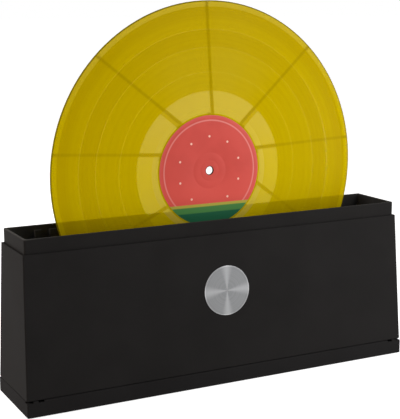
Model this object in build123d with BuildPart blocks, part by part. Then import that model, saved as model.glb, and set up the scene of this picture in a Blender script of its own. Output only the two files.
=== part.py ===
from build123d import *
import os
from math import atan2, cos, degrees, radians, sin

os.makedirs("parts", exist_ok=True)

# Manual record washer, in millimetres. The origin is the centre of the footprint on the surface it
# stands on. +X runs along the trough, +Y towards its rear, +Z up. The record stands on edge in the
# plane y = 0, dips into the inner basin and is turned by hand between two velvet brushes.

# ---------------------------------------------------------------- driving dimensions

# Twelve-inch record
record_diameter = 301.6
record_thickness = 1.9
groove_thickness = 1.3
spindle_hole_diameter = 7.24
label_diameter = 100.0
label_thickness = 0.12
label_land_width = 3.0
run_out_slope = 4.0
lead_in_slope = 4.0
bead_width = 3.2
record_above_rim = 40.1
record_floor_gap = 11.7

# Rollers that carry the record, and the angle below the horizontal at which they touch its edge
roller_angle = 24.6
tyre_radius = 11.7
tyre_width = 3.0
tyre_bore_radius = 9.05
edge_gap = 0.3
flange_radius = 16.5
flange_land = 5.0
flange_outer_land = 6.2
flange_slope = 3.6
spool_radius = 10.0
spool_end_play = 0.95
spool_bevel = 0.8
axle_radius = 2.5
clip_radius = 4.2
clip_thickness = 0.6
clip_groove_depth = 0.4
bush_radius = 3.55
bush_flange_radius = 5.0
bush_flange_thickness = 1.0
running_gap = 0.05
fit_gap = 0.02

# Slots for smaller records: diameter of the record and roller angle
small_records = ((254.0, 30.0), (175.0, 40.0))

# Inner basin
basin_wall = 2.4
basin_inner_half_depth = 26.0
basin_corner = 1.7
basin_inner_corner = 2.2
basin_floor_round = 1.5
rim_round = 0.8
end_gap = 17.3
neck_height = 12.5
rib_depth = 3.9
rib_width = 6.0
rib_drop = 4.0
slot_gap = 0.15
saddle_thickness = 7.0
guide_rib_width = 2.4
guide_rib_depth = 4.0
guide_drop = 12.0
fill_mark_length = 36.0
fill_mark_height = 0.8
fill_mark_depth = 0.6
fill_below_label = 5.0

# Outer housing
housing_wall = 1.5
neck_gap = 0.4
end_flare = 3.4
front_flare = 7.9
housing_corner = 1.2
housing_inner_corner = 0.6
housing_top_round = 0.6
seam_bevel = 0.8

# Base tray
foot_stand = 0.8
base_height = 13.8
base_floor = 2.5
base_wall = 2.5
base_proud_x = 0.1
base_proud_y = 1.25
base_bottom_round = 0.5
support_height = 21.1
support_thickness = 2.4
support_width = 42.0
support_pitch = 92.0
support_count = 4
tie_rib_height = 8.0
weep_depth = 1.3
weep_width = 5.0
weep_inset = 12.5
corner_notch = 5.4
tab_length = 14.0
tab_thickness = 1.6
tab_rise = 3.5
tab_gap = 0.3
tab_pitch = 62.0
tab_count = 4
end_tab_pitch = 30.0

# Feet
foot_radius = 6.0
foot_height = 2.0
foot_recess_gap = 0.2
foot_inset_x = 17.0
foot_inset_y = 12.5
foot_round = 0.4

# Screws that hold the housing to the base tray
screw_end_inset = 39.0
screw_side_inset = 5.85
screw_radius = 1.45
screw_clearance = 0.25
screw_head_radius = 2.8
screw_head_height = 1.8
screw_length = 16.0
counterbore_gap = 0.4
counterbore_depth = 2.2
cross_width = 0.7
cross_length = 3.2
cross_depth = 1.0
boss_radius = 3.2
boss_height = 26.0
base_boss_radius = 5.0
base_boss_height = 2.5
gusset_thickness = 2.4
gusset_bite = 0.3

# Round badge on the front face
badge_radius = 22.4
badge_thickness = 1.0
badge_recess = 0.5
badge_recess_gap = 0.15
badge_rise = 71.1
badge_round = 0.3

# Velvet brushes, one on each side of the record
pad_gap = 0.4
pad_thickness = 2.5
pad_width = 27.0
pad_overrun = 3.0
pad_label_gap = 2.5
pad_round = 1.0
foam_thickness = 3.0
foam_margin = 1.5
holder_plate = 3.0
holder_width = 32.0
holder_drop = 7.0
holder_floor_gap = 0.3
holder_wall_gap = 0.5
holder_round = 4.0
fin_thickness = 2.0
fin_half_span = 7.5
fin_guide_gap = 0.5
grip_height = 14.0
grip_depth = 11.0

# ---------------------------------------------------------------- sizes that follow from them

record_radius = record_diameter / 2
bead_radius = record_radius - bead_width
groove_end_radius = bead_radius - lead_in_slope
label_radius = label_diameter / 2
label_land_radius = label_radius + label_land_width
groove_start_radius = label_land_radius + run_out_slope
roller_reach = record_radius + edge_gap + tyre_radius
roller_x = roller_reach * cos(radians(roller_angle))
roller_drop = roller_reach * sin(radians(roller_angle))

base_floor_top = foot_stand + base_floor
seam_z = foot_stand + base_height
basin_under = base_floor_top + support_height
basin_floor_top = basin_under + basin_wall
record_low = basin_floor_top + record_floor_gap
record_z = record_low + record_radius
rim_z = record_z - record_above_rim
ledge_z = rim_z - neck_height
roller_z = record_z - roller_drop
label_low = record_z - label_radius

basin_inner_half_length = roller_x + flange_radius + end_gap
basin_half_length = basin_inner_half_length + basin_wall
basin_half_depth = basin_inner_half_depth + basin_wall
rib_face = basin_inner_half_depth - rib_depth
rib_top = rim_z - rib_drop
slot_radius = bush_radius + slot_gap

housing_top_x = basin_half_length + neck_gap + housing_wall
housing_top_y = basin_half_depth + neck_gap + housing_wall
housing_bottom_x = housing_top_x + end_flare
housing_bottom_y = housing_top_y + front_flare
base_half_x = housing_bottom_x + base_proud_x
base_half_y = housing_bottom_y + base_proud_y

screw_pitch = base_half_x - screw_end_inset
screw_y = housing_bottom_y - screw_side_inset
screw_seat_z = foot_stand + counterbore_depth
base_boss_top = base_floor_top + base_boss_height
foot_x = base_half_x - foot_inset_x
foot_y = base_half_y - foot_inset_y

bush_inner = rib_face - running_gap
bush_outer = basin_inner_half_depth - holder_wall_gap / 2
axle_half_length = bush_outer - holder_wall_gap
clip_face = bush_inner - bush_flange_thickness - 2 * running_gap - clip_thickness
spool_half_length = clip_face - spool_end_play

pad_face = record_thickness / 2 + pad_gap
foam_face = pad_face + pad_thickness
plate_face = foam_face + foam_thickness
fin_face = plate_face + holder_plate
fin_back = basin_inner_half_depth - holder_wall_gap
pad_low = record_low - pad_overrun
pad_top = label_low - pad_label_gap
holder_low = basin_floor_top + holder_floor_gap
holder_top = rim_z - holder_drop
fin_low = holder_low + 2 * basin_floor_round

# Every place where a roller can stand, as (x, z) of its axle on the right-hand side
roller_stations = [(roller_x, roller_z)]
for small_diameter, small_angle in small_records:
    small_reach = small_diameter / 2 + edge_gap + tyre_radius
    station_x = small_reach * cos(radians(small_angle))
    station_z = record_z - small_reach * sin(radians(small_angle))
    roller_stations.append((station_x, station_z))


# ---------------------------------------------------------------- base tray

# Shallow tray: its ribs carry the basin, its tabs centre the housing
with BuildPart() as base_tray:
    with BuildSketch(Plane.XY.offset(foot_stand)):
        RectangleRounded(2 * base_half_x, 2 * base_half_y, housing_corner)
    extrude(amount=base_height)
    fillet(base_tray.faces().sort_by(Axis.Z)[0].outer_wire().edges(), base_bottom_round)
    chamfer(base_tray.faces().sort_by(Axis.Z)[-1].outer_wire().edges(), seam_bevel)
    with BuildSketch(Plane.XY.offset(base_floor_top)):
        RectangleRounded(2 * (base_half_x - base_wall), 2 * (base_half_y - base_wall), base_wall)
    extrude(amount=base_height, mode=Mode.SUBTRACT)

    # Cross ribs under the basin, tied together by one low rib along the middle
    with BuildSketch(Plane.XY.offset(base_floor_top)):
        with GridLocations(support_pitch, 0, support_count, 1):
            Rectangle(support_thickness, support_width)
    extrude(amount=support_height)
    with BuildSketch(Plane.XY.offset(base_floor_top)):
        Rectangle(support_pitch * (support_count - 1), support_thickness)
    extrude(amount=tie_rib_height)

    # Tabs inside the housing wall, filled out to the tray's own wall below the seam
    side_tab_y = housing_bottom_y - housing_wall - tab_gap - tab_thickness / 2
    end_tab_x = housing_bottom_x - housing_wall - tab_gap - tab_thickness / 2
    with BuildSketch(Plane.XY.offset(base_floor_top)):
        with GridLocations(tab_pitch, 2 * side_tab_y, tab_count, 2):
            Rectangle(tab_length, tab_thickness)
        with GridLocations(2 * end_tab_x, end_tab_pitch, 2, 2):
            Rectangle(tab_thickness, tab_length)
    extrude(amount=seam_z + tab_rise - base_floor_top)
    with BuildSketch(Plane.XY.offset(base_floor_top)):
        with GridLocations(tab_pitch, 2 * (base_half_y - base_wall), tab_count, 2):
            Rectangle(tab_length, 2 * tab_thickness)
    extrude(amount=base_height - base_floor - seam_bevel)

    # Screw bosses with counterbored holes, and recesses for the feet
    with BuildSketch(Plane.XY.offset(base_floor_top)):
        with GridLocations(screw_pitch, 2 * screw_y, 3, 2):
            Circle(base_boss_radius)
    extrude(amount=base_boss_height)
    with BuildSketch(Plane.XY):
        with GridLocations(screw_pitch, 2 * screw_y, 3, 2):
            Circle(screw_radius + screw_clearance)
    extrude(amount=base_boss_top, mode=Mode.SUBTRACT)
    with BuildSketch(Plane.XY):
        with GridLocations(screw_pitch, 2 * screw_y, 3, 2):
            Circle(screw_head_radius + counterbore_gap)
    extrude(amount=screw_seat_z, mode=Mode.SUBTRACT)
    with BuildSketch(Plane.XY):
        with GridLocations(2 * foot_x, 2 * foot_y, 2, 2):
            Circle(foot_radius + foot_recess_gap)
    extrude(amount=foot_height, mode=Mode.SUBTRACT)

    # Weep slots in the rim beside each corner and a notch across the corner itself
    with BuildSketch(Plane.XY.offset(seam_z - weep_depth)):
        with GridLocations(2 * (base_half_x - weep_inset), 2 * base_half_y, 2, 2):
            Rectangle(weep_width, 4 * base_wall)
        with GridLocations(2 * base_half_x, 2 * base_half_y, 2, 2):
            Rectangle(2 * corner_notch, 2 * corner_notch)
    extrude(amount=weep_depth, mode=Mode.SUBTRACT)

base_tray.part.label = "base_tray"
export_step(base_tray.part, "parts/base_tray.step")

# Four rubber feet pressed flat into the tray's recesses
with BuildPart() as rubber_feet:
    with BuildSketch(Plane.XY):
        with GridLocations(2 * foot_x, 2 * foot_y, 2, 2):
            Circle(foot_radius)
    extrude(amount=foot_height)
    fillet(rubber_feet.edges().group_by(Axis.Z)[0], foot_round)

rubber_feet.part.label = "rubber_feet"
export_step(rubber_feet.part, "parts/rubber_feet.step")

# Cross-head screws that go up through the tray into the housing's bosses
with BuildPart() as base_screws:
    with BuildSketch(Plane.XY.offset(screw_seat_z - screw_head_height)):
        with GridLocations(screw_pitch, 2 * screw_y, 3, 2):
            Circle(screw_head_radius)
    extrude(amount=screw_head_height)
    with BuildSketch(Plane.XY.offset(screw_seat_z)):
        with GridLocations(screw_pitch, 2 * screw_y, 3, 2):
            Circle(screw_radius)
    extrude(amount=screw_length)
    with BuildSketch(Plane.XY.offset(screw_seat_z - screw_head_height)):
        with GridLocations(screw_pitch, 2 * screw_y, 3, 2):
            Rectangle(cross_length, cross_width)
            Rectangle(cross_width, cross_length)
    extrude(amount=cross_depth, mode=Mode.SUBTRACT)

base_screws.part.label = "base_screws"
export_step(base_screws.part, "parts/base_screws.step")


# ---------------------------------------------------------------- outer housing and badge

# The front face leans back; the badge plane lies on it, with its normal pointing outwards
front_slope = degrees(atan2(front_flare, ledge_z - seam_z))
badge_y = -(housing_bottom_y - badge_rise * sin(radians(front_slope)))
badge_z = seam_z + badge_rise * cos(radians(front_slope))
front_normal = (0, -cos(radians(front_slope)), sin(radians(front_slope)))
badge_plane = Plane(origin=(0, badge_y, badge_z), x_dir=(1, 0, 0), z_dir=front_normal)

# Tapered tube, open below and above, with screw bosses inside its long walls
with BuildPart() as outer_housing:
    with BuildSketch(Plane.XY.offset(seam_z)):
        RectangleRounded(2 * housing_bottom_x, 2 * housing_bottom_y, housing_corner)
    with BuildSketch(Plane.XY.offset(ledge_z)):
        RectangleRounded(2 * housing_top_x, 2 * housing_top_y, housing_corner)
    loft()
    chamfer(outer_housing.faces().sort_by(Axis.Z)[0].outer_wire().edges(), seam_bevel)
    fillet(outer_housing.faces().sort_by(Axis.Z)[-1].outer_wire().edges(), housing_top_round)
    with BuildSketch(Plane.XY.offset(seam_z)):
        RectangleRounded(
            2 * (housing_bottom_x - housing_wall),
            2 * (housing_bottom_y - housing_wall),
            housing_inner_corner,
        )
    with BuildSketch(Plane.XY.offset(ledge_z)):
        RectangleRounded(
            2 * (housing_top_x - housing_wall),
            2 * (housing_top_y - housing_wall),
            housing_inner_corner,
        )
    loft(mode=Mode.SUBTRACT)

    gusset_depth = housing_bottom_y - housing_wall + gusset_bite - screw_y
    with BuildSketch(Plane.XY.offset(base_boss_top)):
        with GridLocations(screw_pitch, 2 * screw_y, 3, 2):
            Circle(boss_radius)
    extrude(amount=boss_height)
    with BuildSketch(Plane.XY.offset(seam_z + seam_bevel)):
        with GridLocations(screw_pitch, 2 * screw_y + gusset_depth, 3, 2):
            Rectangle(gusset_thickness, gusset_depth)
    extrude(amount=base_boss_top + boss_height - seam_z - seam_bevel)
    with BuildSketch(Plane.XY.offset(base_boss_top)):
        with GridLocations(screw_pitch, 2 * screw_y, 3, 2):
            Circle(screw_radius + running_gap)
    extrude(amount=screw_length, mode=Mode.SUBTRACT)

    with BuildSketch(badge_plane):
        Circle(badge_radius + badge_recess_gap)
    extrude(amount=-badge_recess, mode=Mode.SUBTRACT)

outer_housing.part.label = "outer_housing"
export_step(outer_housing.part, "parts/outer_housing.step")

with BuildPart() as badge_disc:
    with BuildSketch(badge_plane.offset(-badge_recess)):
        Circle(badge_radius)
    extrude(amount=badge_thickness)
    badge_faces = badge_disc.faces().filter_by(GeomType.PLANE).sort_by(Axis.Y)
    fillet(badge_faces[0].outer_wire().edges(), badge_round)

badge_disc.part.label = "badge_disc"
export_step(badge_disc.part, "parts/badge_disc.step")


# ---------------------------------------------------------------- inner basin

# Water trough that drops into the housing; its top edge is the collar that stands above the housing
with BuildPart() as inner_basin:
    with BuildSketch(Plane.XY.offset(basin_under)):
        RectangleRounded(2 * basin_half_length, 2 * basin_half_depth, basin_corner)
    extrude(amount=rim_z - basin_under)
    fillet(inner_basin.faces().sort_by(Axis.Z)[0].outer_wire().edges(), basin_wall / 2)
    with BuildSketch(Plane.XY.offset(basin_floor_top)):
        RectangleRounded(2 * basin_inner_half_length, 2 * basin_inner_half_depth, basin_inner_corner)
    extrude(amount=rim_z - basin_floor_top, mode=Mode.SUBTRACT)
    basin_levels = inner_basin.faces().filter_by(Axis.Z).group_by(Axis.Z)
    fillet(basin_levels[-1][0].edges(), rim_round)
    basin_levels = inner_basin.faces().filter_by(Axis.Z).group_by(Axis.Z)
    fillet(basin_levels[1][0].edges(), basin_floor_round)

    # Ribbed saddles for the roller ends, on both long walls, and then the slots in them
    for wall_side in (1, -1):
        saddle_plane = Plane.XZ.offset(-wall_side * rib_face)
        for station_x, station_z in roller_stations:
            saddle_low = station_z - slot_radius - saddle_thickness
            with BuildSketch(saddle_plane):
                with GridLocations(2 * station_x, 0, 2, 1):
                    with Locations((0, saddle_low)):
                        Rectangle(
                            2 * (slot_radius + rib_width),
                            rib_top - saddle_low,
                            align=(Align.CENTER, Align.MIN),
                        )
            extrude(amount=-wall_side * (rib_depth + rim_round))
        for station_x, station_z in roller_stations:
            with BuildSketch(saddle_plane):
                with GridLocations(2 * station_x, 0, 2, 1):
                    with Locations((0, station_z)):
                        Circle(slot_radius)
                        Rectangle(
                            2 * slot_radius, rib_top - station_z, align=(Align.CENTER, Align.MIN)
                        )
            extrude(amount=-wall_side * rib_depth, mode=Mode.SUBTRACT)

    # Upright guides for the two brushes
    guide_x = fin_half_span + fin_guide_gap + guide_rib_width / 2
    guide_top = rim_z - guide_drop
    for wall_side in (1, -1):
        with BuildSketch(Plane.XZ.offset(-wall_side * (basin_inner_half_depth - guide_rib_depth))):
            with GridLocations(2 * guide_x, 0, 2, 1):
                with Locations((0, basin_under + basin_wall / 2)):
                    Rectangle(
                        guide_rib_width,
                        guide_top - basin_under - basin_wall / 2,
                        align=(Align.CENTER, Align.MIN),
                    )
        extrude(amount=-wall_side * (guide_rib_depth + rim_round))

    # Raised fill line on the rear wall, a little below the lowest point of the label
    fill_z = label_low - fill_below_label
    fill_x = (roller_stations[-1][0] - slot_radius - rib_width + guide_x + guide_rib_width / 2) / 2
    with BuildSketch(Plane.XZ.offset(fill_mark_depth - basin_inner_half_depth)):
        with GridLocations(2 * fill_x, 0, 2, 1):
            with Locations((0, fill_z)):
                Rectangle(fill_mark_length, fill_mark_height)
    extrude(amount=-(fill_mark_depth + rim_round))

inner_basin.part.label = "inner_basin"
export_step(inner_basin.part, "parts/inner_basin.step")

# Flanged nylon bushes at the bottom of the slots in use; the axles turn in them
with BuildPart() as roller_bushes:
    for wall_side in (1, -1):
        with BuildSketch(Plane.XZ.offset(-wall_side * bush_inner)):
            with GridLocations(2 * roller_x, 0, 2, 1):
                with Locations((0, roller_z)):
                    Circle(bush_radius)
        extrude(amount=-wall_side * (bush_outer - bush_inner))
        with BuildSketch(Plane.XZ.offset(-wall_side * bush_inner)):
            with GridLocations(2 * roller_x, 0, 2, 1):
                with Locations((0, roller_z)):
                    Circle(bush_flange_radius)
        extrude(amount=wall_side * bush_flange_thickness)
    with BuildSketch(Plane.XZ.offset(-bush_outer)):
        with GridLocations(2 * roller_x, 0, 2, 1):
            with Locations((0, roller_z)):
                Circle(axle_radius + running_gap)
    extrude(amount=2 * bush_outer, mode=Mode.SUBTRACT)

roller_bushes.part.label = "roller_bushes"
export_step(roller_bushes.part, "parts/roller_bushes.step")


# ---------------------------------------------------------------- rollers

seat_radius = tyre_bore_radius - fit_gap
groove_half = tyre_width / 2 + fit_gap
groove_lip_radius = tyre_radius + 2 * edge_gap

for side_name, side in (("left", -1), ("right", 1)):
    axle_centre = (side * roller_x, 0, roller_z)
    axle_axis = Axis(axle_centre, (0, 1, 0))
    profile_plane = Plane(origin=axle_centre)

    # Steel axle with a groove near each end for its clip
    with BuildPart() as roller_axle:
        with BuildSketch(Plane.XZ.offset(-axle_half_length)):
            with Locations((side * roller_x, roller_z)):
                Circle(axle_radius)
        extrude(amount=2 * axle_half_length)
        chamfer(roller_axle.edges().filter_by(GeomType.CIRCLE), clip_groove_depth)
        with BuildSketch(profile_plane):
            with GridLocations(0, 2 * clip_face + clip_thickness, 1, 2):
                with Locations((axle_radius, 0)):
                    Rectangle(2 * clip_groove_depth, clip_thickness + 2 * fit_gap)
        revolve(axis=axle_axis, mode=Mode.SUBTRACT)

    axle_name = f"{side_name}_roller_axle"
    roller_axle.part.label = axle_name
    export_step(roller_axle.part, f"parts/{axle_name}.step")

    # Spool with a central groove whose flared flanges steer the record's edge
    with BuildPart() as roller_spool:
        with BuildSketch(profile_plane):
            with BuildLine():
                Polyline(
                    (axle_radius + fit_gap, 0),
                    (seat_radius, 0),
                    (seat_radius, groove_half),
                    (groove_lip_radius, groove_half),
                    (flange_radius, flange_land),
                    (flange_radius, flange_outer_land),
                    (spool_radius, flange_outer_land + flange_slope),
                    (spool_radius, spool_half_length - spool_bevel),
                    (spool_radius - spool_bevel, spool_half_length),
                    (axle_radius + fit_gap, spool_half_length),
                    close=True,
                )
            make_face()
            mirror(about=Plane(origin=axle_centre, x_dir=(1, 0, 0), z_dir=(0, 1, 0)))
        revolve(axis=axle_axis)

    spool_name = f"{side_name}_roller_spool"
    roller_spool.part.label = spool_name
    export_step(roller_spool.part, f"parts/{spool_name}.step")

    # Rubber tyre at the bottom of the groove, which the record rolls on
    with BuildPart() as roller_tyre:
        with BuildSketch(profile_plane):
            with Locations(((tyre_bore_radius + tyre_radius) / 2, 0)):
                Rectangle(tyre_radius - tyre_bore_radius, tyre_width)
        revolve(axis=axle_axis)
        tyre_rims = roller_tyre.edges().filter_by(GeomType.CIRCLE).sort_by(SortBy.RADIUS)[-2:]
        fillet(tyre_rims, tyre_width / 6)

    tyre_name = f"{side_name}_roller_tyre"
    roller_tyre.part.label = tyre_name
    export_step(roller_tyre.part, f"parts/{tyre_name}.step")

    # Two C-shaped clips that keep the spool on the axle
    with BuildPart() as roller_clips:
        for wall_side in (1, -1):
            with BuildSketch(Plane.XZ.offset(-wall_side * clip_face)):
                with Locations((side * roller_x, roller_z)):
                    Circle(clip_radius)
                    Circle(axle_radius - clip_groove_depth + fit_gap, mode=Mode.SUBTRACT)
                with Locations((side * roller_x, roller_z + clip_radius / 2)):
                    Rectangle(axle_radius, clip_radius, mode=Mode.SUBTRACT)
            extrude(amount=-wall_side * clip_thickness)

    clips_name = f"{side_name}_roller_clips"
    roller_clips.part.label = clips_name
    export_step(roller_clips.part, f"parts/{clips_name}.step")


# ---------------------------------------------------------------- record

record_axis = Axis((0, 0, record_z), (0, 1, 0))
record_plane = Plane(origin=(0, 0, record_z))
hole_radius = spindle_hole_diameter / 2
land_half = record_thickness / 2
groove_half_thickness = groove_thickness / 2

# Pressed disc: recessed label seats, a thinner grooved band and a bead along its edge
with BuildPart() as record_disc:
    with BuildSketch(record_plane):
        with BuildLine():
            Polyline(
                (record_radius - land_half, land_half),
                (bead_radius, land_half),
                (groove_end_radius, groove_half_thickness),
                (groove_start_radius, groove_half_thickness),
                (label_land_radius, land_half),
                (label_radius, land_half),
                (label_radius, land_half - label_thickness),
                (hole_radius, land_half - label_thickness),
                (hole_radius, label_thickness - land_half),
                (label_radius, label_thickness - land_half),
                (label_radius, -land_half),
                (label_land_radius, -land_half),
                (groove_start_radius, -groove_half_thickness),
                (groove_end_radius, -groove_half_thickness),
                (bead_radius, -land_half),
                (record_radius - land_half, -land_half),
            )
            ThreePointArc(
                (record_radius - land_half, -land_half),
                (record_radius, 0),
                (record_radius - land_half, land_half),
            )
        make_face()
    revolve(axis=record_axis)

record_disc.part.label = "record_disc"
export_step(record_disc.part, "parts/record_disc.step")

# Paper labels in the seats on the two faces
for label_name, label_side in (("record_label_front", -1), ("record_label_rear", 1)):
    with BuildPart() as record_label:
        with BuildSketch(Plane.XZ.offset(-label_side * (land_half - label_thickness))):
            with Locations((0, record_z)):
                Circle(label_radius - fit_gap)
                Circle(hole_radius, mode=Mode.SUBTRACT)
        extrude(amount=-label_side * label_thickness)
    record_label.part.label = label_name
    export_step(record_label.part, f"parts/{label_name}.step")


# ---------------------------------------------------------------- brushes

for brush_name, brush_side in (("front", -1), ("rear", 1)):
    # Velvet pad that wipes the grooved band below the label
    with BuildPart() as brush_pad:
        with BuildSketch(Plane.XZ.offset(-brush_side * pad_face)):
            with Locations((0, (pad_low + pad_top) / 2)):
                RectangleRounded(pad_width, pad_top - pad_low, pad_thickness)
        extrude(amount=-brush_side * pad_thickness)
        pad_fronts = brush_pad.faces().filter_by(Axis.Y).sort_by(Axis.Y)
        fillet(pad_fronts[-1 if brush_side < 0 else 0].outer_wire().edges(), pad_round)

    pad_name = f"{brush_name}_brush_pad"
    brush_pad.part.label = pad_name
    export_step(brush_pad.part, f"parts/{pad_name}.step")

    # Foam strip between the velvet and the holder
    with BuildPart() as brush_foam:
        with BuildSketch(Plane.XZ.offset(-brush_side * foam_face)):
            with Locations((0, (pad_low + pad_top) / 2)):
                RectangleRounded(
                    pad_width - 2 * foam_margin, pad_top - pad_low - 2 * foam_margin, foam_margin
                )
        extrude(amount=-brush_side * foam_thickness)

    foam_name = f"{brush_name}_brush_foam"
    brush_foam.part.label = foam_name
    export_step(brush_foam.part, f"parts/{foam_name}.step")

    # Holder: a plate, two fins that slide between the basin's guides, and a finger grip on top
    with BuildPart() as brush_holder:
        with BuildSketch(Plane.XZ.offset(-brush_side * plate_face)):
            with Locations((0, (holder_low + holder_top) / 2)):
                RectangleRounded(holder_width, holder_top - holder_low, holder_round)
        extrude(amount=-brush_side * holder_plate)
        with BuildSketch(Plane.XZ.offset(-brush_side * (fin_face - holder_plate / 2))):
            with Locations((0, fin_low)):
                with GridLocations(2 * fin_half_span - fin_thickness, 0, 2, 1):
                    Rectangle(
                        fin_thickness,
                        holder_top - grip_height - fin_low,
                        align=(Align.CENTER, Align.MIN),
                    )
        extrude(amount=-brush_side * (fin_back - fin_face + holder_plate / 2))
        with BuildSketch(Plane.XZ.offset(-brush_side * (fin_face - holder_plate / 2))):
            with Locations((0, holder_top)):
                Rectangle(2 * fin_half_span, grip_height, align=(Align.CENTER, Align.MAX))
        extrude(amount=-brush_side * (grip_depth + holder_plate / 2))

    holder_name = f"{brush_name}_brush_holder"
    brush_holder.part.label = holder_name
    export_step(brush_holder.part, f"parts/{holder_name}.step")

print("rim", rim_z, "record centre", record_z, "roller", roller_x, roller_z)
print("basin half length", basin_half_length, "base half size", base_half_x, base_half_y)
print("ledge", ledge_z, "seam", seam_z, "badge", badge_y, badge_z, "top", record_z + record_radius)
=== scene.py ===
import math

import bmesh
import bpy
from mathutils import Matrix, Vector, noise


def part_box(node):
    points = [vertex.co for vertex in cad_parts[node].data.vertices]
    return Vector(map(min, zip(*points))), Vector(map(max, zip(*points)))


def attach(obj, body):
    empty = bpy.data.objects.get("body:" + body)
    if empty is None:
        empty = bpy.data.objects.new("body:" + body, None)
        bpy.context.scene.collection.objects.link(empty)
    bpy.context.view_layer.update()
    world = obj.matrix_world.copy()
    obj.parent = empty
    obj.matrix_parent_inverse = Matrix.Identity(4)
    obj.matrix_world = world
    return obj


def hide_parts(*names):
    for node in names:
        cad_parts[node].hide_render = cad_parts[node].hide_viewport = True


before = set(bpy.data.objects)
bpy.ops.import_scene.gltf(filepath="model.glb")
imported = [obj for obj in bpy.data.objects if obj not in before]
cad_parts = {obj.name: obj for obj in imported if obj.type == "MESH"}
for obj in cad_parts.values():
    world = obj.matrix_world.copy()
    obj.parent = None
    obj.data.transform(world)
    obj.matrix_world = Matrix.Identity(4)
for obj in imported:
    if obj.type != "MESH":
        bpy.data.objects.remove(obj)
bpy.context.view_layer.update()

scene = bpy.context.scene

# Looks of a manual record washer: a translucent record on edge in a satin black trough. Every
# length is in metres, in the row frame, unless its name says mm; the record lies in the plane
# y = 0, and the washer's front faces -Y.

MM = 0.001

# Half of the ramp between two tracks of the record
TRACK_RAMP_MM = 0.4

# ---------------------------------------------------------------- places read from the frame

record_low, record_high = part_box("record_disc")
label_low, label_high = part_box("record_label_front")
badge_low, badge_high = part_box("badge_disc")
basin_low, basin_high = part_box("inner_basin")
record_centre = (record_low + record_high) / 2
record_radius = (record_high.x - record_low.x) / 2
label_radius = (label_high.x - label_low.x) / 2
badge_centre = (badge_low + badge_high) / 2
badge_radius = (badge_high.x - badge_low.x) / 2


# ---------------------------------------------------------------- node trees

class Surface:
    """One material's node tree. Each method adds a node and returns the socket to read from."""

    def __init__(self, name):
        self.material = bpy.data.materials.new(name)
        self.material.use_nodes = True
        self.tree = self.material.node_tree
        self.shader = self.tree.nodes["Principled BSDF"]
        self.place = self.node("ShaderNodeTexCoord").outputs["Object"]

    def node(self, kind, inputs=(), **settings):
        made = self.tree.nodes.new(kind)
        for key, value in settings.items():
            setattr(made, key, value)
        for socket, value in dict(inputs).items():
            self.feed(made.inputs[socket], value)
        return made

    def feed(self, socket, value):
        if isinstance(value, bpy.types.NodeSocket):
            self.tree.links.new(value, socket)
        else:
            socket.default_value = value

    def set(self, **values):
        """Sets the shader's own sockets, named with underscores for spaces."""
        for name, value in values.items():
            self.feed(self.shader.inputs[name.replace("_", " ")], value)

    def math(self, operation, a, b=0.0, clamp=False):
        made = self.node("ShaderNodeMath", {0: a, 1: b}, operation=operation, use_clamp=clamp)
        return made.outputs[0]

    def noise(self, size_mm, detail=2.0, roughness=0.5, stretch=(1, 1, 1)):
        """Noise from 0 to 1 whose lumps are about size_mm across."""
        scaled = self.node(
            "ShaderNodeMapping", {"Vector": self.place, "Scale": [s / (size_mm * MM) for s in stretch]}
        )
        made = self.node(
            "ShaderNodeTexNoise",
            {"Vector": scaled.outputs[0], "Scale": 1.0, "Detail": detail, "Roughness": roughness},
        )
        return made.outputs[0]

    def line_noise(self, distance, pitch_mm, detail=2.0):
        """Noise along one distance only, for rings and stripes."""
        made = self.node(
            "ShaderNodeTexNoise",
            {"W": self.math("MULTIPLY", distance, 1 / (pitch_mm * MM)), "Scale": 1.0, "Detail": detail},
            noise_dimensions="1D",
        )
        return made.outputs[0]

    def span(self, value, low, high, out_low=0.0, out_high=1.0):
        """value from low to high becomes out_low to out_high, eased and held beyond the ends."""
        made = self.node(
            "ShaderNodeMapRange",
            {"Value": value, 1: low, 2: high, 3: out_low, 4: out_high},
            interpolation_type="SMOOTHSTEP",
        )
        return made.outputs[0]

    def span_to(self, value, edge, before, after):
        """before up to the edge and after beyond it, with a short ramp between."""
        share = self.span(value, edge - TRACK_RAMP_MM, edge + TRACK_RAMP_MM)
        change = self.math("SUBTRACT", after, before)
        return self.math("ADD", before, self.math("MULTIPLY", share, change))

    def mix(self, share, a, b):
        made = self.node("ShaderNodeMix", {0: share, 6: colour(a), 7: colour(b)}, data_type="RGBA")
        return made.outputs[2]

    def axes(self, centre=(0, 0, 0)):
        moved = self.node("ShaderNodeVectorMath", {0: self.place, 1: centre}, operation="SUBTRACT")
        split = self.node("ShaderNodeSeparateXYZ", {0: moved.outputs[0]})
        return split.outputs[0], split.outputs[1], split.outputs[2]

    def length(self, a, b):
        squares = self.math("ADD", self.math("MULTIPLY", a, a), self.math("MULTIPLY", b, b))
        return self.math("SQRT", squares)

    def bump(self, height, depth_mm, strength=1.0, under=None):
        inputs = {"Height": height, "Distance": depth_mm * MM, "Strength": strength}
        if under is not None:
            inputs["Normal"] = under
        return self.node("ShaderNodeBump", inputs).outputs[0]


def colour(value):
    """A socket as it is, or an RGB triple with its alpha added."""
    return value if isinstance(value, bpy.types.NodeSocket) else (*value, 1.0)


def dress(node, surface):
    """Gives a CAD node's object this surface."""
    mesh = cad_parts[node].data
    mesh.materials.clear()
    mesh.materials.append(surface.material)


# ---------------------------------------------------------------- surfaces

CLOUD_MM = 55
DUST_MM = 2.2
DUST_SHARE = 0.05
DUST_TONE = (0.09, 0.088, 0.084)
GRAIN_MM = 0.35
GLOSS_CHANGE = 0.03


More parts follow.
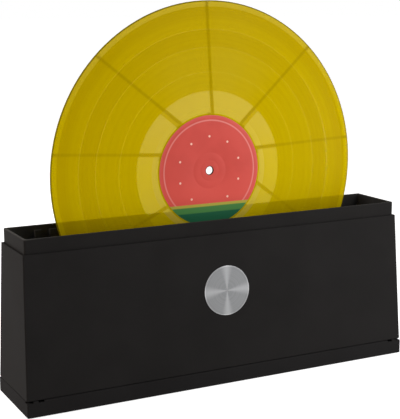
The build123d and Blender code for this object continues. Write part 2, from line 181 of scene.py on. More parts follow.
def moulded_plastic(name, dark, light, roughness, grain_depth_mm=0.012):
    """Matt black moulding: fine spark-eroded grain, faint clouds of polish and a little dust."""
    s = Surface(name)
    cloud = s.span(s.noise(CLOUD_MM, detail=3), 0.3, 0.7)
    specks = s.span(s.noise(DUST_MM, detail=5, roughness=0.7), 0.58, 0.74)
    dust = s.math("MULTIPLY", specks, DUST_SHARE)
    grain = s.noise(GRAIN_MM, detail=1)
    polish = s.span(cloud, 0, 1, roughness - GLOSS_CHANGE, roughness + GLOSS_CHANGE)
    s.set(
        Base_Color=s.mix(dust, s.mix(cloud, dark, light), DUST_TONE),
        Roughness=s.math("ADD", polish, dust),
        Specular_IOR_Level=0.004,
        Normal=s.bump(grain, grain_depth_mm, 0.5),
    )
    return s


BASIN_WALL_MM = 2.4
# Painted light inside the basin: how far below the rim it fades, its tone, and its share deeper down and at
# the right end
INSIDE_LIGHT_FADE_MM = 14.0
INSIDE_LIGHT_TONE = (0.041, 0.040, 0.036)
INSIDE_LIGHT_BELOW = 0.75
INSIDE_LIGHT_AT_RIGHT = 0.35
# Painted highlight along the basin's rim: its width, its tone, and its share at the left end and elsewhere
RIM_HIGHLIGHT_MM = 0.35
RIM_HIGHLIGHT_TONE = (0.06, 0.058, 0.054)
RIM_HIGHLIGHT_AT_LEFT = 0.75
RIM_HIGHLIGHT_ELSEWHERE = 0.18


def basin_painted_light(s):
    """Paints light into the basin: a patchy lighter tone on its inner walls, strongest just below the rim
    and weakest toward the right end, and a painted highlight along the rim, most at the left end."""
    moulded = s.shader.inputs["Base Color"].links[0].from_socket
    half = (basin_high - basin_low) / 2
    across, depth, up = s.axes((basin_low + basin_high) / 2)
    inside = 1.0
    for distance, reach in ((across, half.x), (depth, half.y)):
        wall = reach - BASIN_WALL_MM / 2 * MM
        within = s.span(s.math("ABSOLUTE", distance), wall - 0.1 * MM, wall + 0.1 * MM, 1.0, 0.0)
        inside = s.math("MULTIPLY", within, inside)
    inside = s.math("MULTIPLY", inside, s.span(up, half.z - INSIDE_LIGHT_FADE_MM * MM, half.z, INSIDE_LIGHT_BELOW, 1.0))
    inside = s.math("MULTIPLY", inside, s.span(across, 0.2 * half.x, 0.8 * half.x, 1.0, INSIDE_LIGHT_AT_RIGHT))
    # painted light: a patchy lighter tone on the basin's inner walls, fading downward and toward the right
    # end
    inside_light = s.math("MULTIPLY", inside, s.span(s.noise(9, detail=4), 0.3, 0.7, 0.5, 0.95))
    tone = s.mix(inside_light, moulded, INSIDE_LIGHT_TONE)
    # painted highlight on the rim's top edge, strongest at the left end
    rim_lit_share = s.span(across, -half.x, -0.9 * half.x, RIM_HIGHLIGHT_AT_LEFT, RIM_HIGHLIGHT_ELSEWHERE)
    rim_highlight = s.math("MULTIPLY", rim_lit_share, s.span(up, half.z - 2 * RIM_HIGHLIGHT_MM * MM, half.z - RIM_HIGHLIGHT_MM * MM))
    s.set(Base_Color=s.mix(rim_highlight, tone, RIM_HIGHLIGHT_TONE))


def rubber(name, tone):
    s = Surface(name)
    pits = s.noise(0.4, detail=3)
    s.set(
        Base_Color=s.mix(s.span(s.noise(6, detail=3), 0.35, 0.65), tone, [1.6 * c for c in tone]),
        Roughness=s.span(pits, 0.2, 0.8, 0.72, 0.9),
        Specular_IOR_Level=0.1,
        Normal=s.bump(pits, 0.03, 0.6),
    )
    return s


def steel(name, tone, roughness, stretch):
    """Turned or plated metal, with fine marks drawn out along the axis where stretch is small."""
    s = Surface(name)
    marks = s.noise(0.25, detail=3, stretch=stretch)
    s.set(
        Base_Color=s.mix(s.span(marks, 0.3, 0.7), [0.85 * c for c in tone], tone),
        Metallic=1.0,
        Roughness=s.span(marks, 0.3, 0.7, roughness - 0.06, roughness + 0.06),
        Normal=s.bump(marks, 0.006, 0.6),
    )
    return s


SPINDLE_HOLE_MM = 7.24

# Spun badge: how far the paler sectors of painted sheen and the painted highlight on the rim reach
PAINTED_SHEEN_SIDEWAYS = 0.38
PAINTED_SHEEN_UPRIGHT = 0.34
BADGE_RIM_HIGHLIGHT_MM = 0.6
PAINTED_SHEEN_SHARE = 0.8
BADGE_RINGS = ((0.142, 0.145, 0.149), (0.161, 0.164, 0.168))
BADGE_PAINTED_SHEEN = (0.25, 0.254, 0.26)
BADGE_RIM_HIGHLIGHT = (0.36, 0.36, 0.37)


def spun_badge(name):
    """Disc turned on a lathe: fine rings, four paler sectors of painted sheen, and a painted highlight on
    the rim.
    """
    s = Surface(name)
    across, _, up = s.axes(badge_centre)
    radius = s.length(across, up)
    rings = s.line_noise(radius, 0.16, detail=3)
    broad = s.span(s.line_noise(radius, 1.6), 0.3, 0.7)
    steep = s.math("DIVIDE", s.math("ABSOLUTE", up), radius)
    flat = s.math("DIVIDE", s.math("ABSOLUTE", across), radius)
    # painted sheen: paler sectors sideways and upright
    painted_sheen = s.math(
        "MAXIMUM", s.span(steep, 0.0, PAINTED_SHEEN_SIDEWAYS, 1.0, 0.0), s.span(flat, 0.0, PAINTED_SHEEN_UPRIGHT, 1.0, 0.0)
    )
    tone = s.mix(broad, *BADGE_RINGS)
    tone = s.mix(s.math("MULTIPLY", painted_sheen, PAINTED_SHEEN_SHARE), tone, BADGE_PAINTED_SHEEN)
    # painted highlight on the rim, weaker between the sectors
    rim_highlight = s.span(radius, badge_radius - 1.5 * BADGE_RIM_HIGHLIGHT_MM * MM, badge_radius - BADGE_RIM_HIGHLIGHT_MM * MM)
    rim_highlight = s.math("MULTIPLY", rim_highlight, s.span(painted_sheen, 0.0, 1.0, 0.3, 1.0))
    s.set(
        Base_Color=s.mix(rim_highlight, tone, BADGE_RIM_HIGHLIGHT),
        Metallic=1.0,
        Roughness=s.span(rings, 0.3, 0.7, 0.30, 0.42),
        Normal=s.bump(rings, 0.004, 0.5),
    )
    return s


# Bands of the record's face, as radii: the smooth ring beside the label ends at the first of them,
# every track has its own lightness, and the smooth lead-in follows the last
RUN_OUT_END_MM = 71.6
TRACKS = ((88.3, 0.78), (110.0, 0.70), (125.8, 0.34), (133.6, 0.66), (137.2, 0.34), (145.4, 0.06))
PLAIN_RINGS_MM = (88.3, 110.0, 125.8)
TRACK_GAP_MM = 0.6
EDGE_MM = 0.9
LABEL_RING_MM = 1.5
LAND_MM = 3.0
SLOPE_MM = 4.2
GROOVE_MM = 0.22

# Colours of the vinyl, among them painted reflection, sheen, highlight and shade, and how much light it lets
# through
GROOVES_QUIET = (0.508, 0.364, 0.0)
GROOVES_LOUD = (0.570, 0.425, 0.0)
RUN_OUT = (0.56, 0.41, 0.0)
LEAD_IN_LOW = (0.59, 0.442, 0.0)
LEAD_IN_TOP_REFLECTION = (0.595, 0.45, 0.022)
PALE_LOW = (0.65, 0.497, 0.0)
PALE_TOP_REFLECTION = (0.65, 0.50, 0.030)
SLOPE_REFLECTION = (0.66, 0.515, 0.050)
GAP_HIGHLIGHT = (0.68, 0.53, 0.02)
GROOVE_SHEEN_TONE = (0.60, 0.46, 0.034)
MARK = (0.30, 0.20, 0.0)
EDGE_SHADE = (0.24, 0.18, 0.0)
HOLE_WALL_SHADE = (0.02, 0.008, 0.006)
CLEARNESS = 0.44

# The nine dark radial marks on the record: degrees from straight up at the label and at the lead-in,
# how far the dull strip of painted shade beside the mark reaches on the side of its hook, and how dark the
# mark is
MARKS = ((3.9, -0.8, 2.4, 1.1), (38.1, 43.6, 5.0, 1.0), (69.3, 81.3, 2.2, 0.85), (106.0, 119.8, 2.2, 0.5))
MARKS += ((-32.4, -45.2, 5.0, 1.0), (-70.2, -80.8, 2.2, 0.78), (-125.3, -119.2, 2.2, 0.55))
MARKS += ((154.0, 160.0, 2.2, 0.5), (-154.0, -160.0, 2.2, 0.5))
MARK_HALF_MM = 2.4
MARK_NEAR_MM = 2.2
HOOK_MM = 4.5
HOOK_REACH_MM = 3.0

# Two overlapping fans of painted sheen of the grooves round the record's top: the degrees where each starts,
# is full, fades and ends, and its share. Both are weaker beyond the inner tracks.
SHEEN_FANS = ((-45.0, -15.0, 26.0, 44.0, 0.15), (-2.0, 4.0, 14.0, 26.0, 0.11))
SHEEN_FAN_END_MM = 109.0
SHEEN_FAN_OUTSIDE = 0.45


def on_face(radius_mm, degrees):
    """The point of the record's face at this radius and angle from straight up, clockwise."""
    turn = math.radians(degrees)
    return Vector((math.sin(turn), 0, math.cos(turn))) * radius_mm * MM + record_centre


def radial_marks(s, radius_mm):
    """1 on the darker lines that cross the tracks, each with a short hook round the label, and 1 on
    the dull strips of painted shade in which they lie, wider on the side of the hook."""
    label_mm = label_radius / MM
    lead_in_mm = TRACKS[-1][0]
    outside = s.span(radius_mm, label_mm, label_mm + 0.6)
    by_label = s.span(radius_mm, label_mm + HOOK_REACH_MM - 1.0, label_mm + HOOK_REACH_MM, 1.0, 0.0)
    lines = 0.0
    dull_shaded_strips = 0.0
    for start_angle, end_angle, far_mm, dark in MARKS:
        start = on_face(label_mm, start_angle)
        end = on_face(lead_in_mm, end_angle)
        along = (end - start).normalized()
        aside = Vector((along.z, 0, -along.x)) * (1 if end_angle > 0 else -1)
        moved = s.node("ShaderNodeVectorMath", {0: s.place, 1: start}, operation="SUBTRACT").outputs[0]
        forward, sideways = (
            s.node("ShaderNodeVectorMath", {0: moved, 1: way}, operation="DOT_PRODUCT").outputs["Value"]
            for way in (along, aside)
        )
        ahead = s.span(forward, -2 * MM, 0.0)
        off_line = s.math("ABSOLUTE", sideways)
        line = s.math("MULTIPLY", s.span(off_line, 0.3 * MM, MARK_HALF_MM * MM, 1.0, 0.0), ahead)
        hook = s.math("MULTIPLY", s.span(sideways, HOOK_MM * MM, 1.3 * HOOK_MM * MM, 1.0, 0.0), by_label)
        hook = s.math("MULTIPLY", s.math("MULTIPLY", hook, s.span(sideways, -MM, 0.0)), ahead)
        drawn = s.math("MULTIPLY", s.math("MAXIMUM", line, hook), dark)
        lines = s.math("MAXIMUM", lines, drawn)
        near = s.span(sideways, -MARK_NEAR_MM * MM, (0.8 - MARK_NEAR_MM) * MM)
        far = s.span(sideways, (far_mm - 0.8) * MM, far_mm * MM, 1.0, 0.0)
        dull_shaded_strips = s.math("MAXIMUM", dull_shaded_strips, s.math("MULTIPLY", s.math("MULTIPLY", near, far), ahead))
    return s.math("MULTIPLY", lines, outside), dull_shaded_strips


def groove_sheen_share(s, across, up, radius_mm):
    """Share of painted sheen on the grooves: a little round the record's top, less in the outer tracks."""
    degrees = s.math("MULTIPLY", s.math("ARCTAN2", across, up), 180 / math.pi)
    groove_sheen = 0.0
    for start, full, fading, end, share in SHEEN_FANS:
        rising = s.span(degrees, start, full, 0.0, share)
        fan = s.math("MULTIPLY", rising, s.span(degrees, fading, end, 1.0, 0.0))
        groove_sheen = s.math("ADD", groove_sheen, fan)
    within = s.span(radius_mm, SHEEN_FAN_END_MM - 5, SHEEN_FAN_END_MM + 5, 1.0, SHEEN_FAN_OUTSIDE)
    return s.math("MULTIPLY", groove_sheen, within)


def vinyl(name):
    """Translucent yellow vinyl: matt and deeper where it is grooved, glossy and paler where it isn't, with
    painted reflection, sheen, highlights and shade.
    """
    s = Surface(name)
    across, _, up = s.axes(record_centre)
    radius_mm = s.math("MULTIPLY", s.length(across, up), 1 / MM)
    marks, dull_shaded_strips = radial_marks(s, radius_mm)
    run_out = s.span(radius_mm, RUN_OUT_END_MM - 0.7, RUN_OUT_END_MM + 0.7, 1.0, 0.0)
    ring_mm = label_radius / MM + LABEL_RING_MM
    slope_end_mm = label_radius / MM + LAND_MM + SLOPE_MM
    flat = s.span(radius_mm, slope_end_mm - 0.5, slope_end_mm + 0.5)
    pale = s.math("MULTIPLY", run_out, s.span(radius_mm, ring_mm - 0.5, ring_mm + 0.5))
    # painted shade: the paler ring gives way on the strips beside the marks, which also lose coat
    pale = s.math("MULTIPLY", pale, s.span(dull_shaded_strips, 0.0, 1.0, 1.0, 0.2))
    lead_in = s.span(radius_mm, TRACKS[-1][0] - 0.5, TRACKS[-1][0] + 0.5)

    light = s.span(radius_mm, RUN_OUT_END_MM, RUN_OUT_END_MM + 1, 1.0, TRACKS[0][1])
    gaps = 0.0
    for (end_mm, _), (_, next_light) in zip(TRACKS, TRACKS[1:]):
        light = s.span_to(radius_mm, end_mm, light, next_light)
        away = s.math("ABSOLUTE", s.math("SUBTRACT", radius_mm, end_mm))
        if end_mm in PLAIN_RINGS_MM:
            gaps = s.math("MAXIMUM", gaps, s.span(away, 0.1, TRACK_GAP_MM, 1.0, 0.0))
    loudness = s.line_noise(s.math("MULTIPLY", radius_mm, MM), 3.0, detail=5)
    light = s.math("ADD", light, s.span(loudness, 0.2, 0.8, -0.22, 0.22), clamp=True)
    tone = s.mix(light, GROOVES_QUIET, GROOVES_LOUD)
    # painted highlight on the gaps between the first tracks
    tone = s.mix(s.math("MULTIPLY", gaps, 0.28), tone, GAP_HIGHLIGHT)
    # painted sheen of the grooves, kept off the marks
    groove_sheen = s.math("MULTIPLY", groove_sheen_share(s, across, up, radius_mm), s.math("SUBTRACT", 1.0, marks))
    tone = s.mix(groove_sheen, tone, GROOVE_SHEEN_TONE)
    tone = s.mix(run_out, tone, RUN_OUT)
    # painted reflection: the smooth ring beside the label turns paler and bluer toward the top
    reflection_from_top = s.span(up, -5 * MM, 50 * MM)
    pale_flat = s.mix(reflection_from_top, PALE_LOW, PALE_TOP_REFLECTION)
    # painted reflection on the uncoated slope beside the label: a paler, bluer tone
    tone = s.mix(pale, tone, s.mix(flat, SLOPE_REFLECTION, pale_flat))
    # painted reflection: the smooth lead-in turns bluer toward the top
    lead_in_reflection = s.mix(s.span(up, 40 * MM, 120 * MM), LEAD_IN_LOW, LEAD_IN_TOP_REFLECTION)
    tone = s.mix(lead_in, tone, lead_in_reflection)
    depth = s.span(lead_in, 0.0, 1.0, 0.41, 0.62)
    tone = s.mix(s.math("MULTIPLY", marks, depth), tone, MARK)
    edge_mm = record_radius / MM
    # painted shade: a dark line round the record's outer edge
    tone = s.mix(s.span(radius_mm, edge_mm - 1.4 * EDGE_MM, edge_mm - EDGE_MM), tone, EDGE_SHADE)
    hole_mm = SPINDLE_HOLE_MM / 2
    # painted shade: the spindle hole's wall is near black and lets no light through
    hole_wall_shade = s.span(radius_mm, hole_mm + 0.5, hole_mm + 0.8, 1.0, 0.0)
    tone = s.mix(hole_wall_shade, tone, HOLE_WALL_SHADE)

    grooves = s.line_noise(s.math("MULTIPLY", radius_mm, MM), GROOVE_MM, detail=1)
    smooth = s.math("MAXIMUM", run_out, lead_in)
    cut = s.math("SUBTRACT", 1.0, smooth, clamp=True)
    gloss = s.math("MULTIPLY", s.math("MULTIPLY", pale, flat), 0.42)
    gloss = s.math("MAXIMUM", gloss, s.math("MULTIPLY", lead_in, 0.02))
    s.set(
        Base_Color=tone,
        Roughness=s.math("ADD", s.math("MULTIPLY", cut, 0.10), 0.08),
        Transmission_Weight=s.math(
            "SUBTRACT", CLEARNESS, s.math("MULTIPLY", hole_wall_shade, CLEARNESS), clamp=True
        ),
        IOR=1.05,
        Coat_Weight=s.math("MAXIMUM", gloss, s.math("MULTIPLY", gaps, 0.1)),
        Coat_Roughness=0.12,
        Normal=s.bump(s.math("MULTIPLY", grooves, cut), 0.006, 0.4),
    )
    return s


# Print on the label, in millimetres from its centre
PALE_RING_MM = 45.4
DOT_RING_MM = 31.0
DOTS = 10
BANDS = ((-30.0, (0.40, 0.36, 0.05)), (-32.5, (0.06, 0.20, 0.05)), (-38.0, (0.012, 0.10, 0.045)))
CORALS = ((0.515, 0.062, 0.048), (0.543, 0.067, 0.052))
CORAL_EDGE = (0.62, 0.102, 0.088)
# painted light: a lighter coral toward the label's bottom
CORAL_LIT_BELOW = (0.64, 0.080, 0.061)
RING_TONE = (0.78, 0.36, 0.33)
DOT_TONE = (0.84, 0.52, 0.42)


def label_paper(name):
    """Coral label with plain bands of green below a chord, a ring of pale dots and a pale ring."""
    s = Surface(name)
    across, _, up = s.axes(record_centre)
    radius_mm = s.math("MULTIPLY", s.length(across, up), 1 / MM)
    up_mm = s.math("MULTIPLY", up, 1 / MM)
    fibres = s.noise(0.5, detail=4)
    tone = s.mix(s.span(s.noise(18), 0.35, 0.65), *CORALS)
    tone = s.mix(s.span(radius_mm, 46.5, 49.0, 0.0, 0.5), tone, CORAL_EDGE)
    # painted light: the label turns lighter toward its bottom
    tone = s.mix(s.span(up_mm, -28.0, 5.0, 1.0, 0.0), tone, CORAL_LIT_BELOW)
    ring = s.span(s.math("ABSOLUTE", s.math("SUBTRACT", radius_mm, PALE_RING_MM)), 0.3, 1.0, 0.4, 0.0)
    tone = s.mix(ring, tone, RING_TONE)
    angle = s.math("ARCTAN2", across, up)
    turn = s.math("SINE", s.math("MULTIPLY", angle, DOTS / 2))
    aside_mm = s.math("MULTIPLY", turn, s.math("MULTIPLY", radius_mm, 2 / DOTS))
    dot = s.span(s.length(aside_mm, s.math("SUBTRACT", radius_mm, DOT_RING_MM)), 0.7, 1.3, 0.9, 0.0)
    tone = s.mix(dot, tone, DOT_TONE)
    for level, band in BANDS:
        tone = s.mix(s.span(up_mm, level - 0.5, level + 0.5, 1.0, 0.0), tone, band)
    s.set(
        Base_Color=tone,
        Roughness=s.span(fibres, 0.3, 0.7, 0.42, 0.5),
        Specular_IOR_Level=0.12,
        Normal=s.bump(fibres, 0.01, 0.4),
    )
    return s


def nylon(name):
    s = Surface(name)
    s.set(
        Base_Color=s.mix(s.span(s.noise(3, detail=3), 0.3, 0.7), (0.66, 0.65, 0.60), (0.74, 0.73, 0.69)),
        Roughness=s.span(s.noise(0.5), 0.3, 0.7, 0.38, 0.5),
        Specular_IOR_Level=0.3,
        Normal=s.bump(s.noise(0.3, detail=1), 0.01, 0.4),
    )
    return s


def foam(name):
    s = Surface(name)
    cells = s.node(
        "ShaderNodeTexVoronoi", {"Vector": s.place, "Scale": 1 / (0.9 * MM)}
    ).outputs["Distance"]
    s.set(
        Base_Color=s.mix(s.span(cells, 0.1, 0.7), (0.10, 0.10, 0.105), (0.19, 0.19, 0.195)),
        Roughness=0.95,
        Specular_IOR_Level=0.05,
        Normal=s.bump(cells, 0.25, 0.8),
    )
    return s


def velvet(name):
    """Short cut pile: fibre tips closer together than they are long, and a nap that lies in patches."""
    s = Surface(name)
    pile = s.noise(0.28, detail=2, stretch=(1, 1, 0.55))
    nap = s.span(s.noise(7, detail=3), 0.3, 0.7)
    s.set(
        Base_Color=s.mix(nap, (0.56, 0.55, 0.52), (0.68, 0.67, 0.635)),
        Roughness=s.span(pile, 0.3, 0.7, 0.85, 1.0),
        Specular_IOR_Level=0.05,
        Sheen_Weight=0.4,
        Sheen_Roughness=0.4,
        Normal=s.bump(pile, 0.22, 0.8),
    )
    return s


# ---------------------------------------------------------------- CAD nodes that keep their shapes

housing_black = moulded_plastic("housing_black", (0.0152, 0.0144, 0.0142), (0.0174, 0.0164, 0.0162), 0.46)
tray_black = moulded_plastic("tray_black", (0.0148, 0.0140, 0.0141), (0.0165, 0.0157, 0.0158), 0.5)
basin_black = moulded_plastic("basin_black", (0.0149, 0.0141, 0.0138), (0.0170, 0.0160, 0.0156), 0.42, 0.008)
basin_painted_light(basin_black)
brush_black = moulded_plastic("brush_black", (0.013, 0.013, 0.0135), (0.018, 0.018, 0.0185), 0.4)
spool_black = moulded_plastic("spool_black", (0.018, 0.018, 0.0185), (0.024, 0.024, 0.0245), 0.34)

dress("outer_housing", housing_black)
dress("base_tray", tray_black)
dress("inner_basin", basin_black)
dress("badge_disc", spun_badge("spun_aluminium"))
dress("rubber_feet", rubber("foot_rubber", (0.018, 0.018, 0.018)))
dress("base_screws", steel("zinc_screw", (0.46, 0.46, 0.47), 0.38, (1, 1, 1)))
dress("roller_bushes", nylon("nylon_bush"))
dress("record_disc", vinyl("yellow_vinyl"))
turned_steel = steel("turned_steel", (0.55, 0.56, 0.58), 0.24, (0.1, 1, 0.1))
clip_steel = steel("clip_steel", (0.38, 0.38, 0.40), 0.34, (1, 1, 1))
tyre_rubber = rubber("tyre_rubber", (0.022, 0.022, 0.022))
for side in ("front", "rear"):
    dress(f"{side}_brush_holder", brush_black)
for side in ("left", "right"):
    dress(f"{side}_roller_axle", turned_steel)
    dress(f"{side}_roller_spool", spool_black)
    dress(f"{side}_roller_tyre", tyre_rubber)
    dress(f"{side}_roller_clips", clip_steel)


# ---------------------------------------------------------------- modelled pieces

def place_piece(name, mesh, surface, body, node):
    """Adds a mesh as a piece that rides on a body and stands for a CAD node."""
    mesh.materials.append(surface.material)
    mesh.shade_smooth()
    piece = bpy.data.objects.new(name, mesh)
    scene.collection.objects.link(piece)
    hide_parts(node)
    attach(piece, body)
    return piece


def soft_block(name, low, high, corner, voxel):
    """A block with rounded upright corners, cut into even small faces, as a mesh."""
    half_x = (high.x - low.x) / 2 - corner
    half_z = (high.z - low.z) / 2 - corner
    middle = (low + high) / 2
    outline = []
    for turn in range(0, 360, 15):
        angle = math.radians(turn)
        quarter = math.radians(turn - turn % 90 + 45)
        x = math.copysign(half_x, math.cos(quarter)) + corner * math.cos(angle)
        z = math.copysign(half_z, math.sin(quarter)) + corner * math.sin(angle)
        outline.append((middle.x + x, low.y, middle.z + z))
    shape = bmesh.new()
    face = shape.faces.new([shape.verts.new(point) for point in outline])
    pushed = bmesh.ops.extrude_face_region(shape, geom=[face])
    moved = [part for part in pushed["geom"] if isinstance(part, bmesh.types.BMVert)]
    bmesh.ops.translate(shape, verts=moved, vec=(0, high.y - low.y, 0))
    bmesh.ops.recalc_face_normals(shape, faces=shape.faces)
    rough = bpy.data.meshes.new(name + "_rough")
    shape.to_mesh(rough)
    shape.free()
    block = bpy.data.objects.new(name + "_rough", rough)
    scene.collection.objects.link(block)
    remesh = block.modifiers.new("even", "REMESH")
    remesh.mode = "VOXEL"
    remesh.voxel_size = voxel
    even = bpy.data.meshes.new_from_object(block.evaluated_get(bpy.context.evaluated_depsgraph_get()))
    bpy.data.objects.remove(block)
    even.name = name
    return even


PAD_CORNER_MM = 2.5
PAD_CROWN_MM = 0.45
PAD_EDGE_MM = 1.6
PILE_MM = 0.14
FOAM_CORNER_MM = 1.5
FOAM_WAIST_MM = 0.5
CELL_MM = 0.10


def brush_pad(side, toward_record):
    """Velvet stretched over its foam: highest along its middle line, rolled in at its edges."""
    low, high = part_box(f"{side}_brush_pad")
    margin = Vector((1, 0, 1)) * PILE_MM * MM
    mesh = soft_block(f"{side}_velvet_pad", low + margin, high - margin, PAD_CORNER_MM * MM, 0.7 * MM)
    middle = (low + high) / 2
    half_x = (high.x - low.x) / 2
    half_z = (high.z - low.z) / 2
    thickness = high.y - low.y
    back = high.y if toward_record < 0 else low.y
    for vertex in mesh.vertices:
        point = vertex.co
        edge = min(half_x - abs(point.x - middle.x), half_z - abs(point.z - middle.z))
        edge = min(max(edge / (PAD_EDGE_MM * MM), 0.0), 1.0)
        rolled = 1 - 0.45 * (1 - edge) ** 2
        crown = 1 - PAD_CROWN_MM * MM / thickness * ((point.x - middle.x) / half_x) ** 2
        height = abs(point.y - back) / thickness
        tips = noise.noise(point / (0.8 * MM)) * PILE_MM * MM * height
        reach = height * thickness * rolled * crown - abs(tips) - 0.1 * MM * height
        point.y = back + toward_record * reach
        point.x += noise.noise(point / (1.1 * MM)) * 0.6 * PILE_MM * MM
    pad = place_piece(
        f"{side}_velvet_pad", mesh, velvet(f"{side}_velvet"), f"{side}_brush",
        f"{side}_brush_pad",
    )


def brush_foam(side):
    """Foam strip squeezed between pad and holder, so its sides pull in; its cells are cut open."""
    low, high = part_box(f"{side}_brush_foam")
    margin = Vector((1, 0, 1)) * CELL_MM * MM
    mesh = soft_block(f"{side}_foam_strip", low + margin, high - margin, FOAM_CORNER_MM * MM, 0.8 * MM)
    middle = (low + high) / 2
    half = (high - low) / 2
    for vertex in mesh.vertices:
        point = vertex.co
        waist = 1 - ((point.y - middle.y) / half.y) ** 2
        side_share = ((point.x - middle.x) / half.x) ** 4
        end_share = ((point.z - middle.z) / half.z) ** 20
        pits = CELL_MM * MM * noise.noise(point / (1.3 * MM))
        point.x -= math.copysign(waist * FOAM_WAIST_MM * MM, point.x - middle.x) * side_share - pits
        point.z -= math.copysign(waist * FOAM_WAIST_MM * MM, point.z - middle.z) * end_share - pits
    strip = place_piece(
        f"{side}_foam_strip", mesh, foam(f"{side}_foam"), f"{side}_brush",
        f"{side}_brush_foam",
    )


LABEL_STEPS = 180
LABEL_HOLE_PLAY_MM = 0.5
# Rings pressed into the label: radius, half of their width, and the share of the paper they go down
PRESSED_RINGS = ((9.2, 0.6, 0.3), (16.4, 0.9, 0.6))


def record_label(side, outward, paper):
    """Label turned about the spindle: two pressed rings round the hole and a soft cut edge."""
    low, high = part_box(f"record_label_{side}")
    thickness = high.y - low.y
    inner_face = low.y if outward > 0 else high.y
    hole = (SPINDLE_HOLE_MM / 2 + LABEL_HOLE_PLAY_MM) * MM
    profile = [(hole, 0.0), (hole, 0.8), (hole + 0.2 * MM, 1.0)]
    for ring_mm, half_mm, share in PRESSED_RINGS:
        for offset, height in ((-1, 1.0), (-0.5, 1 - share), (0.5, 1 - share), (1, 1.0)):
            profile.append(((ring_mm + offset * half_mm) * MM, height))
    profile += [(label_radius - 0.3 * MM, 1.0), (label_radius, 0.6), (label_radius, 0.0)]
    shape = bmesh.new()
    rings = []
    for radius, height in profile:
        depth = inner_face + outward * height * thickness
        loop = []
        for step in range(LABEL_STEPS):
            turn = 2 * math.pi * step / LABEL_STEPS
            across, up = radius * math.sin(turn), radius * math.cos(turn)
            loop.append(shape.verts.new((record_centre.x + across, depth, record_centre.z + up)))
        rings.append(loop)
    for near, far in zip(rings, rings[1:] + rings[:1]):
        for step in range(LABEL_STEPS):
            after = (step + 1) % LABEL_STEPS
            shape.faces.new((near[step], near[after], far[after], far[step]))
    bmesh.ops.recalc_face_normals(shape, faces=shape.faces)
    mesh = bpy.data.meshes.new(f"{side}_label")
    shape.to_mesh(mesh)
    shape.free()
    place_piece(f"{side}_label", mesh, paper, "record", f"record_label_{side}")
    mesh.set_sharp_from_angle(angle=math.radians(30))


coral = label_paper("coral_label")
for side, outward in (("front", -1), ("rear", 1)):
    record_label(side, outward, coral)
    brush_pad(side, -outward)
    brush_foam(side)


# ---------------------------------------------------------------- studio

FLOOR_HALF = 30.0
FLOOR_TONE = 0.80
FLOOR_LIFT = 0.80
AMBIENT = 0.30
BOX_MIDDLE = (0, 0, 0.12)
RIGHT_HALF = (0.05, 0, 0.12)
WARM_WHITE = (1, 0.86, 0.74)


def white_to_the_eye(tree):
    """1 for rays whose path shows the background: from the camera, a mirror or through glass."""
    path = tree.nodes.new("ShaderNodeLightPath")
    seen = path.outputs["Is Camera Ray"]
    for name in ("Is Glossy Ray", "Is Transmission Ray"):
        either = tree.nodes.new("ShaderNodeMath")
        either.operation = "MAXIMUM"
        tree.links.new(seen, either.inputs[0])
        tree.links.new(path.outputs[name], either.inputs[1])
        seen = either.outputs[0]
    return seen


def make_world():
    world = bpy.data.worlds.new("studio")
    world.use_nodes = True
    tree = world.node_tree
    background = tree.nodes["Background"]
    background.inputs["Color"].default_value = (1, 1, 1, 1)
    level = tree.nodes.new("ShaderNodeMapRange")
    level.inputs[3].default_value = AMBIENT
    level.inputs[4].default_value = 1.0
    tree.links.new(white_to_the_eye(tree), level.inputs[0])
    tree.links.new(level.outputs[0], background.inputs["Strength"])
    scene.world = world


def make_floor():
    mesh = bpy.data.meshes.new("floor")
    corners = [(x * FLOOR_HALF, y * FLOOR_HALF, 0) for x, y in ((-1, -1), (1, -1), (1, 1), (-1, 1))]
    mesh.from_pydata(corners, [], [(0, 1, 2, 3)])
    floor = bpy.data.objects.new("floor", mesh)
    scene.collection.objects.link(floor)
    s = Surface("pale_floor")
    s.set(Base_Color=(FLOOR_TONE,) * 3 + (1,), Roughness=0.9, Specular_IOR_Level=0.0)
    lift = s.node("ShaderNodeMapRange", {0: white_to_the_eye(s.tree), 3: 0.0, 4: FLOOR_LIFT})
    s.set(Emission_Color=(1, 1, 1, 1), Emission_Strength=lift.outputs[0])
    mesh.materials.append(s.material)


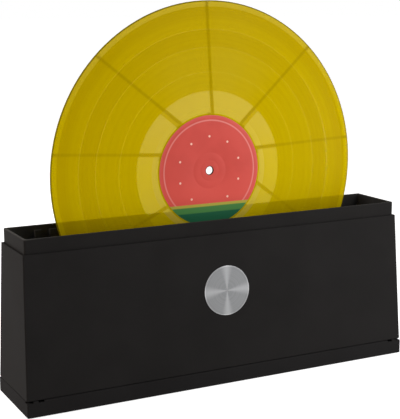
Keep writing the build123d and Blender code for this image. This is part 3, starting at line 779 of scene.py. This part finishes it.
def softbox(name, place, target, size, power, tone=(1, 1, 1)):
    """A lamp that lights the part but isn't seen by the camera or through the record."""
    light = bpy.data.lights.new(name, "AREA")
    light.shape = "RECTANGLE"
    light.size, light.size_y = size
    light.energy = power
    light.color = tone
    lamp = bpy.data.objects.new(name, light)
    lamp.location = place
    lamp.rotation_euler = (Vector(target) - Vector(place)).to_track_quat("-Z", "Y").to_euler()
    lamp.visible_camera = False
    lamp.visible_transmission = False
    scene.collection.objects.link(lamp)


CAMERA_PLACE = Vector((-0.44694, -0.85986, 0.33407))
CAMERA_YAW = math.radians(26.967)
CAMERA_PITCH = math.radians(10.559)
CAMERA_ROLL = math.radians(-0.287)
FOCAL_PIXELS = 1085.4
PICTURE_LONG_SIDE = 419
SENSOR_WIDTH = 36.0


def make_camera():
    forward = Vector(
        (
            math.sin(CAMERA_YAW) * math.cos(CAMERA_PITCH),
            math.cos(CAMERA_YAW) * math.cos(CAMERA_PITCH),
            -math.sin(CAMERA_PITCH),
        )
    )
    level = Vector((math.cos(CAMERA_YAW), -math.sin(CAMERA_YAW), 0))
    upright = level.cross(forward)
    right = level * math.cos(CAMERA_ROLL) + upright * math.sin(CAMERA_ROLL)
    up = upright * math.cos(CAMERA_ROLL) - level * math.sin(CAMERA_ROLL)
    data = bpy.data.cameras.new("camera")
    data.sensor_width = SENSOR_WIDTH
    data.lens = FOCAL_PIXELS * SENSOR_WIDTH / PICTURE_LONG_SIDE
    data.clip_start = 0.05
    data.clip_end = 100
    camera = bpy.data.objects.new("camera", data)
    turn = Matrix((right, up, -forward)).transposed()
    camera.matrix_world = Matrix.Translation(CAMERA_PLACE) @ turn.to_4x4()
    scene.collection.objects.link(camera)
    scene.camera = camera


make_world()
make_floor()
softbox("key_high", (0.375, -0.562, 0.495), RIGHT_HALF, (0.34, 0.34), 2.35)
softbox("key_low", (0.619, -0.477, 0.224), RIGHT_HALF, (0.34, 0.34), 2.8)
softbox("side_left", (-2.17, 0.05, 1.14), BOX_MIDDLE, (1.0, 1.0), 27.5, WARM_WHITE)
softbox("rear", (-0.9, 0.95, 0.5), BOX_MIDDLE, (0.5, 0.5), 7.0)
make_camera()
scene.view_settings.view_transform = "Standard"
